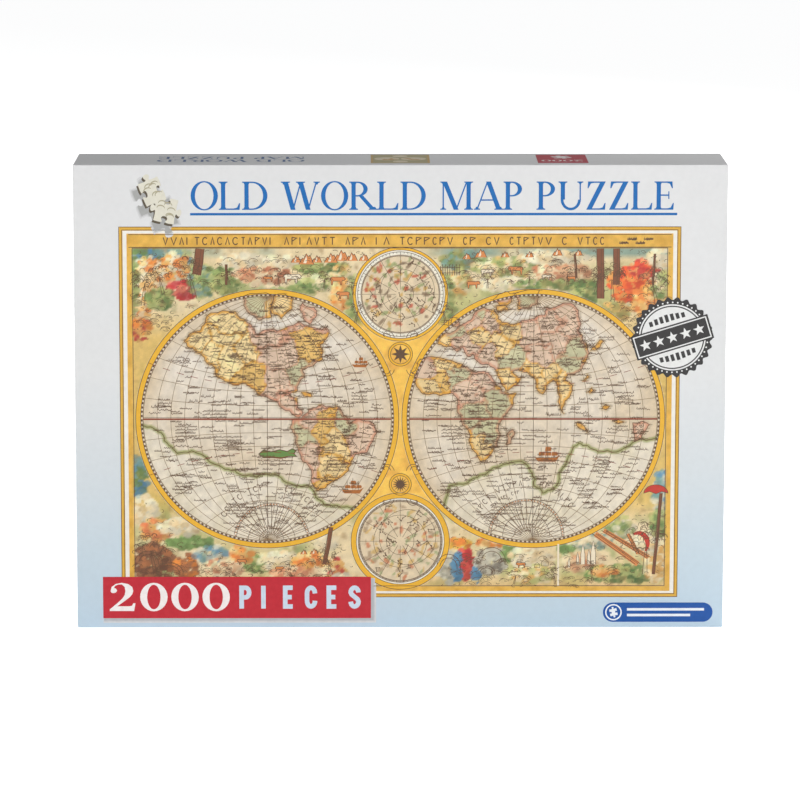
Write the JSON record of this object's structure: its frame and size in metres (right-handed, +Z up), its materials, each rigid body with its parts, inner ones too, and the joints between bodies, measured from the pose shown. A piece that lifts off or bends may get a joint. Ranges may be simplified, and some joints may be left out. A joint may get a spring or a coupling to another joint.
{
  "type": "boxed jigsaw puzzle",
  "caption": "Boxed jigsaw puzzle: a printed full-depth lid over a greyboard tray that holds a vented film bag of jigsaw pieces and a folded leaflet.",
  "frame": {"origin": "middle of the foot of the closed box, which stands on a long edge", "axes": "+X along the long edge, +Y from the lid's printed panel to the tray's back, +Z up"},
  "size_m": [0.375, 0.055, 0.271],
  "materials": {
    "printed_paper": "satin",
    "tray_paper": "satin",
    "greyboard": "matte",
    "kraft_paper": "matte",
    "bag_film": "gloss",
    "printed_piece": "satin",
    "leaflet_paper": "matte"
  },
  "bodies": {
    "tray": {"tray_board": "greyboard", "tray_wrap_panel": "tray_paper", "tray_wrap_foot": "tray_paper", "tray_wrap_top": "tray_paper", "tray_wrap_left": "tray_paper", "tray_wrap_right": "tray_paper", "tray_corner_stay_1": "kraft_paper", "tray_corner_stay_2": "kraft_paper", "tray_corner_stay_3": "kraft_paper", "tray_corner_stay_4": "kraft_paper"},
    "lid": {"lid_board": "greyboard", "lid_wrap_panel": "printed_paper", "lid_wrap_foot": "printed_paper", "lid_wrap_top": "printed_paper", "lid_wrap_left": "printed_paper", "lid_wrap_right": "printed_paper", "lid_corner_stay_1": "kraft_paper", "lid_corner_stay_2": "kraft_paper", "lid_corner_stay_3": "kraft_paper", "lid_corner_stay_4": "kraft_paper"},
    "bag": {"piece_bag": "bag_film", "piece_heap": "printed_piece", "jigsaw_piece_01": "printed_piece", "jigsaw_piece_02": "printed_piece", "jigsaw_piece_03": "printed_piece", "jigsaw_piece_04": "printed_piece", "jigsaw_piece_05": "printed_piece", "jigsaw_piece_06": "printed_piece", "jigsaw_piece_07": "printed_piece", "jigsaw_piece_08": "printed_piece", "jigsaw_piece_09": "printed_piece", "jigsaw_piece_10": "printed_piece", "jigsaw_piece_11": "printed_piece", "jigsaw_piece_12": "printed_piece", "jigsaw_piece_13": "printed_piece", "jigsaw_piece_14": "printed_piece", "jigsaw_piece_15": "printed_piece", "jigsaw_piece_16": "printed_piece", "jigsaw_piece_17": "printed_piece", "jigsaw_piece_18": "printed_piece", "jigsaw_piece_19": "printed_piece", "jigsaw_piece_20": "printed_piece", "jigsaw_piece_21": "printed_piece", "jigsaw_piece_22": "printed_piece", "jigsaw_piece_23": "printed_piece", "jigsaw_piece_24": "printed_piece"},
    "leaflet": {"leaflet": "leaflet_paper"}
  },
  "joints": [
    {"name": "lid_lift", "type": "slide", "parent": "tray", "child": "lid", "axis": [0, -1, 0], "range_m": [0, 0.15]},
    {"name": "bag_shift", "type": "slide", "parent": "tray", "child": "bag", "axis": [0, -1, 0], "range_m": [0, 0.0025]},
    {"name": "leaflet_shift", "type": "slide", "parent": "bag", "child": "leaflet", "axis": [0, -1, 0], "range_m": [0, 0.001]}
  ]
}
